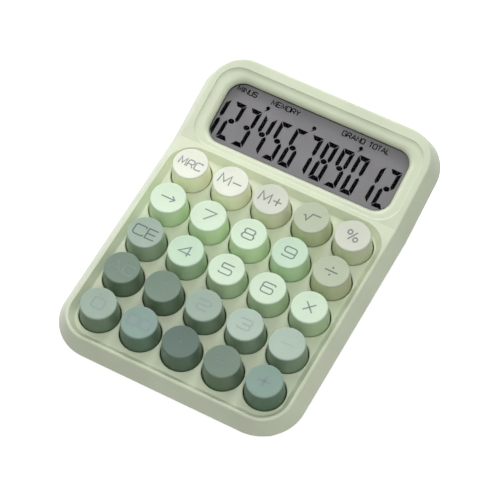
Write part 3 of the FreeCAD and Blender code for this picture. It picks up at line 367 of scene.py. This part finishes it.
def shaded(colour, factor):
    """A colour made lighter or darker."""
    return tuple(min(SCREEN_FULL, c * factor) for c in colour)


def new_material(name):
    """An empty material, its tree and its main shader."""
    material = bpy.data.materials.new(name)
    material.use_nodes = True
    tree = material.node_tree
    return material, tree, tree.nodes["Principled BSDF"]


def add(tree, kind, **inputs):
    """A new node with some of its inputs set by name."""
    node = tree.nodes.new(kind)
    for name, value in inputs.items():
        node.inputs[name.replace("_", " ")].default_value = value
    return node


def ramp(tree, factor, stops):
    """A colour ramp through (place, colour) stops."""
    node = tree.nodes.new("ShaderNodeValToRGB")
    elements = node.color_ramp.elements
    while len(elements) < len(stops):
        elements.new(0.5)
    for element, (place, colour) in zip(elements, stops):
        element.position = place
        element.color = colour
    tree.links.new(factor, node.inputs["Fac"])
    return node.outputs["Color"]


def spread(tree, value, low, high):
    """A value from 0 to 1 laid out between two others."""
    node = add(tree, "ShaderNodeMapRange", To_Min=low, To_Max=high)
    tree.links.new(value, node.inputs["Value"])
    return node.outputs["Result"]


def any_of(tree, outputs):
    """1 where any of some outputs of 0 or 1 is 1."""
    result = outputs[0]
    for output in outputs[1:]:
        either = tree.nodes.new("ShaderNodeMath")
        either.operation = "MAXIMUM"
        tree.links.new(result, either.inputs[0])
        tree.links.new(output, either.inputs[1])
        result = either.outputs[0]
    return result


def noise(tree, scale):
    """A noise over the object's own coordinates, with so many spots to the metre."""
    place = tree.nodes.new("ShaderNodeTexCoord")
    node = add(tree, "ShaderNodeTexNoise", Scale=scale, Detail=NOISE_DETAIL)
    tree.links.new(place.outputs["Object"], node.inputs["Vector"])
    return node.outputs["Fac"]


def mottled(tree, colour, scale, span, shades):
    """A colour that drifts between two shades of itself."""
    stops = [(place, linear(shaded(colour, shade))) for place, shade in zip(span, shades)]
    return ramp(tree, noise(tree, scale), stops)


def grain(tree, shader, size, depth):
    """A fine raised grain on the surface."""
    bump = add(tree, "ShaderNodeBump", Distance=depth)
    tree.links.new(noise(tree, 1 / size), bump.inputs["Height"])
    tree.links.new(bump.outputs["Normal"], shader.inputs["Normal"])


def moulded(name, colour, rough=SATIN, mottle=MOTTLE, gloss=PLASTIC_GLOSS):
    """Moulded plastic: a faint mottle, an uneven satin and a fine grain."""
    material, tree, shader = new_material(name)
    shader.inputs["Specular IOR Level"].default_value = gloss
    cloud = mottled(tree, colour, PLASTIC_CLOUDS, WIDE_CLOUD, (1 - mottle, 1 + mottle))
    tree.links.new(cloud, shader.inputs["Base Color"])
    tree.links.new(spread(tree, noise(tree, PLASTIC_SPOTS), *rough), shader.inputs["Roughness"])
    grain(tree, shader, GRAIN_SIZE, GRAIN_DEPTH)
    return material


def metal(name, colour):
    """Drawn or plated metal with fine lines."""
    material, tree, shader = new_material(name)
    shader.inputs["Metallic"].default_value = 1.0
    cloud = mottled(tree, colour, METAL_CLOUDS, CRISP_CLOUD, METAL_SHADES)
    tree.links.new(cloud, shader.inputs["Base Color"])
    tree.links.new(spread(tree, noise(tree, METAL_SPOTS), *METAL_ROUGH), shader.inputs["Roughness"])
    place = tree.nodes.new("ShaderNodeTexCoord")
    wave = add(tree, "ShaderNodeTexWave", Scale=1 / METAL_LINE, Distortion=METAL_WAVER)
    bump = add(tree, "ShaderNodeBump", Strength=METAL_RELIEF, Distance=METAL_DEPTH)
    tree.links.new(place.outputs["Object"], wave.inputs["Vector"])
    tree.links.new(wave.outputs["Fac"], bump.inputs["Height"])
    tree.links.new(bump.outputs["Normal"], shader.inputs["Normal"])
    return material


def cap_height(tree, deck):
    """How far up a key's cap a point lies, from 0 at its skirt to 1 at its top."""
    normal = deck.to_3x3() @ Vector((0, 0, 1))
    level = normal.dot(deck.translation)
    place = tree.nodes.new("ShaderNodeTexCoord")
    along = tree.nodes.new("ShaderNodeVectorMath")
    along.operation = "DOT_PRODUCT"
    along.inputs[1].default_value = normal
    tree.links.new(place.outputs["Object"], along.inputs[0])
    height = add(tree, "ShaderNodeMapRange", From_Min=level - CAP_SKIRT, From_Max=level + CAP_RISE)
    tree.links.new(along.outputs["Value"], height.inputs["Value"])
    return height.outputs["Result"]


def key_plastic_with_painted_side(name, colour, painted_side_tints, deck):
    """Satin key plastic, with painted light and shade on the side of the cap and painted shade towards its
    skirt.
    """
    material, tree, shader = new_material(name)
    shader.inputs["Specular IOR Level"].default_value = KEY_GLOSS
    # Painted light and shade: the cap's side is tinted against its top, and painted darker still towards the
    # skirt
    side = [c * tint for c, tint in zip(colour, painted_side_tints)]
    stops = [
        (0.0, linear(shaded(side, PAINTED_SHADE_AT_FOOT))),
        (SIDE_END, linear(side)),
        (TOP_START, linear(colour)),
    ]
    body = ramp(tree, cap_height(tree, deck), stops)
    dim = (KEY_CLOUD_SHADE, KEY_CLOUD_SHADE, KEY_CLOUD_SHADE, 1)
    cloud = ramp(tree, noise(tree, KEY_CLOUDS), list(zip(CRISP_CLOUD, (dim, (1, 1, 1, 1)))))
    mix = tree.nodes.new("ShaderNodeMix")
    mix.data_type = "RGBA"
    mix.blend_type = "MULTIPLY"
    mix.inputs["Factor"].default_value = 1.0
    tree.links.new(body, mix.inputs["A"])
    tree.links.new(cloud, mix.inputs["B"])
    tree.links.new(mix.outputs["Result"], shader.inputs["Base Color"])
    tree.links.new(spread(tree, noise(tree, KEY_SPOTS), *KEY_ROUGH), shader.inputs["Roughness"])
    grain(tree, shader, GRAIN_SIZE, GRAIN_DEPTH)
    return material


def clear_window_material():
    """Clear acrylic that lets the lamps through to the panel."""
    material, tree, shader = new_material("clear_acrylic")
    shader.inputs["Transmission Weight"].default_value = 1.0
    shader.inputs["IOR"].default_value = WINDOW_INDEX
    shader.inputs["Base Color"].default_value = WINDOW_TINT
    tree.links.new(spread(tree, noise(tree, WINDOW_SPOTS), *WINDOW_ROUGH), shader.inputs["Roughness"])
    path = tree.nodes.new("ShaderNodeLightPath")
    clear = tree.nodes.new("ShaderNodeBsdfTransparent")
    mix = tree.nodes.new("ShaderNodeMixShader")
    passed = [path.outputs["Is Shadow Ray"], path.outputs["Is Diffuse Ray"]]
    tree.links.new(any_of(tree, passed), mix.inputs["Fac"])
    tree.links.new(shader.outputs["BSDF"], mix.inputs[1])
    tree.links.new(clear.outputs["BSDF"], mix.inputs[2])
    tree.links.new(mix.outputs["Shader"], tree.nodes["Material Output"].inputs["Surface"])
    return material


def panel_material():
    """Grey polariser over the liquid crystal glass, with a faint cell pattern."""
    material, tree, shader = new_material("polariser")
    shader.inputs["Specular IOR Level"].default_value = PANEL_GLOSS
    cloud = mottled(tree, PANEL_COLOUR, PANEL_CLOUDS, CRISP_CLOUD, (1 - MOTTLE, 1 + MOTTLE))
    tree.links.new(cloud, shader.inputs["Base Color"])
    tree.links.new(spread(tree, noise(tree, PANEL_SPOTS), *PANEL_ROUGH), shader.inputs["Roughness"])
    grain(tree, shader, PANEL_GRAIN_SIZE, PANEL_GRAIN_DEPTH)
    return material


def board_material():
    """Green solder mask with the faint relief of copper tracks under it."""
    material, tree, shader = new_material("solder_mask")
    place = tree.nodes.new("ShaderNodeTexCoord")
    tracks = add(tree, "ShaderNodeTexBrick", Scale=TRACKS, Mortar_Size=TRACK_WIDTH)
    for name, colour in BOARD_COLOURS.items():
        tracks.inputs[name].default_value = linear(colour)
    tree.links.new(place.outputs["Object"], tracks.inputs["Vector"])
    tree.links.new(tracks.outputs["Color"], shader.inputs["Base Color"])
    tree.links.new(spread(tree, noise(tree, BOARD_SPOTS), *BOARD_ROUGH), shader.inputs["Roughness"])
    bump = add(tree, "ShaderNodeBump", Strength=TRACK_RELIEF, Distance=TRACK_DEPTH)
    tree.links.new(tracks.outputs["Fac"], bump.inputs["Height"])
    tree.links.new(bump.outputs["Normal"], shader.inputs["Normal"])
    return material


def paint(node, material):
    """Give a CAD node one material."""
    slots = frame["nodes"][node].data.materials
    slots.clear()
    slots.append(material)


def top_frame(node, turn):
    """The frame in the middle of a node's top, for a given turn of its axes."""
    local = [turn.inverted() @ v.co for v in frame["nodes"][node].data.vertices]
    middle = [(min(c) + max(c)) / 2 for c in zip(*[p.xy for p in local])]
    place = turn @ Vector((*middle, max(p.z for p in local)))
    return Matrix.Translation(place) @ turn.to_4x4()


def deck_frame():
    """The deck's frame: its origin on the deck under the middle key, its Z against the keys' travel."""
    joint = next(j for j in frame["joints"] if j["child"] == "key_5")
    turn = Vector((0, 0, 1)).rotation_difference(-Vector(joint["axis"])).to_matrix()
    return top_frame("key_5", turn) @ Matrix.Translation((0, 0, -CAP_RISE))


def key_frame(node, deck):
    """The frame on top of one key's cap, at the height of its rim."""
    return top_frame(node, deck.to_3x3())


def panel_frame(deck):
    """The frame in the middle of the display panel's face."""
    return top_frame("lcd_panel", deck.to_3x3() @ Matrix.Rotation(DISPLAY_BEND, 3, "X"))


def softened(points, closed):
    """The points of a stroke with its corners rounded."""
    count = len(points)
    inner = range(count) if closed else range(1, count - 1)
    result = [] if closed else [points[0]]
    for index in inner:
        corner = Vector(points[index])
        before = Vector(points[index - 1]) - corner
        after = Vector(points[(index + 1) % count]) - corner
        reach = min(CORNER, before.length / 2, after.length / 2)
        start = corner + before.normalized() * reach
        end = corner + after.normalized() * reach
        for step in range(CORNER_STEPS + 1):
            t = step / CORNER_STEPS
            result.append((1 - t) ** 2 * start + 2 * t * (1 - t) * corner + t * t * end)
    if not closed:
        result.append(points[-1])
    return [Vector(point) for point in result]


def ribbon(points, width, closed):
    """Left and right edges of a stroke of even width, mitred at its corners."""
    count = len(points)
    edges = []
    for index, point in enumerate(points):
        before = points[index - 1] if closed or index else None
        after = points[(index + 1) % count] if closed or index < count - 1 else None
        first = (point - before).normalized() if before is not None else (after - point).normalized()
        second = (after - point).normalized() if after is not None else first
        side = Vector((-first.y - second.y, first.x + second.x)).normalized()
        lean = max(MITRE_LIMIT, side.dot(Vector((-first.y, first.x))))
        edges.append((point + side * width / 2 / lean, point - side * width / 2 / lean))
    return edges


def stroke_faces(kind, points, width, corners, faces):
    """Add one stroke or dot to a flat drawing of corners and faces."""
    first = len(corners)
    if kind == "dot":
        for step in range(DOT_STEPS):
            angle = 2 * math.pi * step / DOT_STEPS
            corners.append(Vector(points[0]) + Vector((math.cos(angle), math.sin(angle))) * DOT_RADIUS)
        faces.append(list(range(first, first + DOT_STEPS)))
        return
    closed = kind == "loop"
    path = [Vector(p) for p in points] if kind == "bend" else softened(points, closed)
    edges = ribbon(path, width, closed)
    for left, right in edges:
        corners += [left, right]
    for index in range(len(edges) if closed else len(edges) - 1):
        a = first + 2 * index
        b = first + 2 * ((index + 1) % len(edges))
        faces.append([a, a + 1, b + 1, b])


def text_span(text):
    """Length of a line of lettering one unit high."""
    return sum(GLYPHS[letter][0] for letter in text) + LEGEND_GAP * (len(text) - 1)


def lettering(text, stroke, stretch):
    """Corners and faces of a line of lettering one unit high, from its lower left."""
    corners = []
    faces = []
    cursor = 0.0
    for letter in text:
        width, strokes = GLYPHS[letter]
        for kind, points in strokes:
            placed = [((x + cursor) * stretch, y) for x, y in points]
            stroke_faces(kind, placed, stroke, corners, faces)
        cursor += width + LEGEND_GAP
    return corners, faces


def mesh_piece(name, corners, faces, material, body):
    """A new mesh object that rides on a body."""
    mesh = bpy.data.meshes.new(name)
    mesh.from_pydata(corners, [], faces)
    mesh.materials.append(material)
    piece = bpy.data.objects.new(name, mesh)
    bpy.context.scene.collection.objects.link(piece)
    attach(piece, body)
    return piece


def add_legend(node, text, material, deck):
    """Print a key's legend on its dished top."""
    span = text_span(text)
    squeeze = math.sqrt(min(1, LEGEND_SPAN / LEGEND_HEIGHT / span))
    height = LEGEND_HEIGHT * squeeze
    flat, faces = lettering(text, LEGEND_STROKE / height, squeeze)
    place = key_frame(node, deck)
    corners = []
    for point in flat:
        x = (point.x - span * squeeze / 2) * height
        y = (point.y - 0.5) * height
        sunk = CAP_DISH * (1 - (x * x + y * y) / CAP_DISH_RADIUS ** 2)
        corners.append(place @ Vector((x, y, LEGEND_LIFT - sunk)))
    mesh_piece(f"legend_{node}", corners, faces, material, node)


def spring_room(node, deck):
    """Foot and length of the room under a key's stem in the deck frame, and its radius."""
    back = deck.inverted()
    key = back @ key_frame(node, deck).translation
    local = [back @ v.co for v in frame["nodes"]["switch_springs"].data.vertices]
    own = [p for p in local if (p.xy - key.xy).length < SPRING_SEARCH]
    low = min(p.z for p in own)
    foot = Vector((key.x, key.y, low))
    return foot, max(p.z for p in own) - low, max((p.xy - key.xy).length for p in own)


def add_spring(node, material, deck):
    """Wind a key's return spring in the room under its stem."""
    foot, length, radius = spring_room(node, deck)
    count = SPRING_TURNS * SPRING_STEPS
    corners = []
    faces = []
    for step in range(count + 1):
        angle = 2 * math.pi * step / SPRING_STEPS
        share = min(1, max(0, (step / count - SPRING_END) / (1 - 2 * SPRING_END)))
        height = WIRE_RADIUS + share * (length - 2 * WIRE_RADIUS)
        outward = Vector((math.cos(angle), math.sin(angle), 0))
        for side in range(WIRE_SIDES):
            turn = 2 * math.pi * side / WIRE_SIDES
            reach = radius - WIRE_RADIUS + WIRE_RADIUS * math.cos(turn)
            lift = Vector((0, 0, height + WIRE_RADIUS * math.sin(turn)))
            corners.append(deck @ (foot + outward * reach + lift))
    for step in range(count):
        for side in range(WIRE_SIDES):
            a = step * WIRE_SIDES + side
            b = step * WIRE_SIDES + (side + 1) % WIRE_SIDES
            faces.append([a, b, b + WIRE_SIDES, a + WIRE_SIDES])
    faces.append(list(range(WIRE_SIDES))[::-1])
    faces.append(list(range(count * WIRE_SIDES, (count + 1) * WIRE_SIDES)))
    spring = mesh_piece(f"spring_{node}", corners, faces, material, "case")
    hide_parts("switch_springs")
    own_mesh(spring)


def segment_shapes():
    """Outline of each of a digit's seven segments, in its own box from its lower left corner."""
    wide, high, stroke, gap = DIGIT_WIDTH, DIGIT_HEIGHT, DIGIT_STROKE, DIGIT_GAP
    half = high / 2
    inset = stroke * FLAT_TAPER
    under = high - stroke * FLAT_DEPTH
    top = [(gap, high), (wide - gap, high), (wide - inset, under), (inset, under)]
    upper = [
        (0, high - gap * UPRIGHT_TIP),
        (stroke, high - stroke - gap * UPRIGHT_SHOULDER),
        (stroke, half + stroke * UPRIGHT_INNER),
        (stroke * UPRIGHT_POINT, half + gap),
        (0, half + stroke * UPRIGHT_OUTER),
    ]

    def mirror_x(shape):
        return [(wide - x, y) for x, y in shape]

    def mirror_y(shape):
        return [(x, high - y) for x, y in shape]

    middle = []
    for step in range(OVAL_STEPS):
        angle = 2 * math.pi * step / OVAL_STEPS
        x = wide / 2 + math.cos(angle) * OVAL_LENGTH * stroke
        middle.append((x, half + math.sin(angle) * OVAL_HEIGHT * stroke))
    return {
        "a": top, "b": mirror_x(upper), "c": mirror_x(mirror_y(upper)), "d": mirror_y(top),
        "e": mirror_y(upper), "f": upper, "g": middle,
    }


def scaled_outline(shape, x, y):
    """A mark's outline at its own size, moved to a place."""
    return [(x + across * MARK_SIZE, y + up * MARK_SIZE) for across, up in shape]


def comma_shape():
    """Outline of a raised mark one unit in radius, a drop with a tail to the lower left."""
    angles = [math.radians(degrees) for degrees in MARK_ARC]
    return [(math.cos(angle), math.sin(angle)) for angle in angles] + list(MARK_TAIL)


def add_segments(place, material):
    """The lit segments, the marks between groups of digits and the point at the end."""
    shapes = segment_shapes()
    space = DIGIT_PITCH - DIGIT_WIDTH
    start = WINDOW_CORNER.x + DIGIT_START
    foot = WINDOW_CORNER.y + DIGIT_FOOT
    outlines = []
    for index, digit in enumerate(DIGITS):
        left = start + index * DIGIT_PITCH
        for name in SEGMENTS_OF[digit]:
            outlines.append([(left + x + DIGIT_SLANT * y, foot + y) for x, y in shapes[name]])
        if index + 1 in MARK_AFTER:
            x = left + DIGIT_WIDTH + space / 2 + DIGIT_SLANT * MARK_HEIGHT
            outlines.append(scaled_outline(comma_shape(), x, WINDOW_CORNER.y + MARK_HEIGHT))
    outlines.append(scaled_outline(END_POINT, start + len(DIGITS) * DIGIT_PITCH - space / 2, foot))
    corners = []
    faces = []
    for outline in outlines:
        faces.append(list(range(len(corners), len(corners) + len(outline))))
        corners += [place @ Vector((x, y, PRINT_LIFT)) for x, y in outline]
    mesh_piece("lcd_segments", corners, faces, material, "case")


def rounded_outline(half_x, half_y, corner):
    """Points round a rectangle with round corners."""
    points = []
    for quarter, (x, y) in enumerate(((1, 1), (-1, 1), (-1, -1), (1, -1))):
        for step in range(EDGE_SHADOW_STEPS + 1):
            angle = (quarter + step / EDGE_SHADOW_STEPS) * math.pi / 2
            reach = Vector((math.cos(angle), math.sin(angle))) * corner
            points.append(Vector((x * (half_x - corner), y * (half_y - corner))) + reach)
    return points


def add_painted_edge_shadow(place, material):
    """A painted shadow: a dark band round the panel's edge, standing in for the shade under the far sides of
    the window's opening, where it shows.
    """
    half_x, half_y = -WINDOW_CORNER
    inner = rounded_outline(half_x, half_y, EDGE_SHADOW_CORNER)
    outer = rounded_outline(half_x + EDGE_SHADOW_WIDTH, half_y + EDGE_SHADOW_WIDTH, EDGE_SHADOW_CORNER + EDGE_SHADOW_WIDTH)
    corners = [place @ Vector((*point, EDGE_SHADOW_LIFT)) for point in inner + outer]
    count = len(inner)
    faces = []
    for index in range(count):
        after = (index + 1) % count
        faces.append([index, index + count, after + count, after])
    mesh_piece("lcd_painted_edge_shadow", corners, faces, material, "case")


def add_words(place, material):
    """The small words above the digits."""
    corners = []
    faces = []
    for text, start, end in WORDS:
        stretch = (end - start) * MM / WORD_HEIGHT / text_span(text)
        flat, cells = lettering(text, WORD_STROKE / WORD_HEIGHT, stretch)
        faces += [[len(corners) + index for index in cell] for cell in cells]
        for point in flat:
            x = WINDOW_CORNER.x + start * MM + point.x * WORD_HEIGHT
            y = WINDOW_CORNER.y + WORD_FOOT + point.y * WORD_HEIGHT
            corners.append(place @ Vector((x, y, PRINT_LIFT)))
    mesh_piece("lcd_words", corners, faces, material, "case")


def dress_case():
    """Materials of the case and what is fixed to its outside."""
    case = moulded("case_plastic", CASE_COLOUR)
    for node in ("upper_case", "lower_case", "battery_cover"):
        paint(node, case)
    paint("rubber_feet", moulded("foot_rubber", RUBBER_COLOUR, rough=RUBBER_ROUGH, mottle=RUBBER_MOTTLE))


def dress_keys(deck):
    """Materials of the keys, and their legends."""
    for node, (text, colour, painted_side_tints, strength) in KEYS.items():
        paint(node, key_plastic_with_painted_side(f"plastic_{node}", colour, painted_side_tints, deck))
        ink = [c * t for c, t in zip(colour, INK_TINT)]
        if strength < FULL:
            ink = [c + (f - c) * strength for c, f in zip(colour, FAINT_INK)]
        add_legend(node, text, moulded(f"ink_{node}", ink, mottle=INK_MOTTLE, gloss=KEY_GLOSS), deck)


def dress_inside(deck):
    """Materials of the pieces inside, and the wound springs."""
    paint("main_board", board_material())
    for name, (colour, rough, nodes) in INNER_PLASTICS.items():
        material = moulded(name, colour, rough=rough)
        for node in nodes:
            paint(node, material)
    for name, (colour, nodes) in METALS.items():
        material = metal(name, colour)
        for node in nodes:
            paint(node, material)
        if "switch_springs" in nodes:
            for key in KEYS:
                add_spring(key, material, deck)


def dress_display(deck):
    """Materials of the display, and what it shows."""
    paint("display_window", clear_window_material())
    paint("lcd_panel", panel_material())
    ink = moulded("segment_black", SEGMENT_COLOUR, mottle=SEGMENT_MOTTLE, gloss=PANEL_GLOSS)
    place = panel_frame(deck)
    add_segments(place, ink)
    add_words(place, ink)
    # Painted shadow round the panel's edge
    add_painted_edge_shadow(place, ink)


def background_seen(tree, path):
    """1 for the rays that show the background: to the camera, through glass and in a gloss."""
    names = ("Is Camera Ray", "Is Transmission Ray", "Is Glossy Ray")
    return any_of(tree, [path.outputs[name] for name in names])


def floor_material():
    """White floor that keeps a soft shadow, and that leaves the object open to view and light from below."""
    material, tree, shader = new_material("floor_white")
    shader.inputs["Base Color"].default_value = (FLOOR_ALBEDO, FLOOR_ALBEDO, FLOOR_ALBEDO, 1.0)
    shader.inputs["Roughness"].default_value = FLOOR_ROUGH
    path = tree.nodes.new("ShaderNodeLightPath")
    side = tree.nodes.new("ShaderNodeNewGeometry")
    glow = add(tree, "ShaderNodeEmission")
    tree.links.new(spread(tree, background_seen(tree, path), 0.0, FLOOR_GLOW), glow.inputs["Strength"])
    both = tree.nodes.new("ShaderNodeAddShader")
    tree.links.new(shader.outputs["BSDF"], both.inputs[0])
    tree.links.new(glow.outputs["Emission"], both.inputs[1])
    clear = tree.nodes.new("ShaderNodeBsdfTransparent")
    mix = tree.nodes.new("ShaderNodeMixShader")
    passed = [side.outputs["Backfacing"], path.outputs["Is Diffuse Ray"], path.outputs["Is Shadow Ray"]]
    tree.links.new(any_of(tree, passed), mix.inputs["Fac"])
    tree.links.new(both.outputs["Shader"], mix.inputs[1])
    tree.links.new(clear.outputs["BSDF"], mix.inputs[2])
    tree.links.new(mix.outputs["Shader"], tree.nodes["Material Output"].inputs["Surface"])
    return material


def add_floor():
    """Plain floor under the object."""
    half = FLOOR_SIZE / 2
    mesh = bpy.data.meshes.new("floor")
    corners = [(-half, -half, 0), (half, -half, 0), (half, half, 0), (-half, half, 0)]
    mesh.from_pydata(corners, [], [(0, 1, 2, 3)])
    mesh.materials.append(floor_material())
    floor = bpy.data.objects.new("floor", mesh)
    bpy.context.scene.collection.objects.link(floor)


def add_light():
    """An even white surround and broad lamps round the object."""
    world = bpy.data.worlds.new("surround")
    world.use_nodes = True
    tree = world.node_tree
    background = tree.nodes["Background"]
    background.inputs["Color"].default_value = (1, 1, 1, 1)
    path = tree.nodes.new("ShaderNodeLightPath")
    level = spread(tree, background_seen(tree, path), WORLD_STRENGTH, 1.0)
    tree.links.new(level, background.inputs["Strength"])
    bpy.context.scene.world = world
    for name, (place, size, power) in LAMPS.items():
        lamp = bpy.data.lights.new(name, "AREA")
        lamp.shape = "DISK"
        lamp.size = size
        lamp.energy = power
        holder = bpy.data.objects.new(name, lamp)
        holder.location = place
        holder.rotation_euler = (-place).to_track_quat("-Z", "Y").to_euler()
        bpy.context.scene.collection.objects.link(holder)


def add_camera():
    """The camera fitted to the photo."""
    flat = math.cos(CAMERA_ELEVATION)
    ahead = Vector((
        -flat * math.sin(CAMERA_AZIMUTH), flat * math.cos(CAMERA_AZIMUTH), -math.sin(CAMERA_ELEVATION)))
    level = ahead.cross(Vector((0, 0, 1))).normalized()
    upright = level.cross(ahead)
    right = level * math.cos(CAMERA_ROLL) + upright * math.sin(CAMERA_ROLL)
    up = upright * math.cos(CAMERA_ROLL) - level * math.sin(CAMERA_ROLL)
    turn = Matrix((right, up, -ahead)).transposed()
    lens = bpy.data.cameras.new("camera")
    lens.sensor_width = SENSOR
    lens.lens = SENSOR * FOCAL_PIXELS / FRAME_PIXELS
    camera = bpy.data.objects.new("camera", lens)
    camera.matrix_world = Matrix.Translation(CAMERA_PLACE) @ turn.to_4x4()
    bpy.context.scene.collection.objects.link(camera)
    bpy.context.scene.camera = camera


add_camera()
add_light()
add_floor()
deck_place = deck_frame()
dress_case()
dress_keys(deck_place)
dress_inside(deck_place)
dress_display(deck_place)
bpy.context.scene.view_settings.view_transform = "Standard"
bpy.context.view_layer.update()
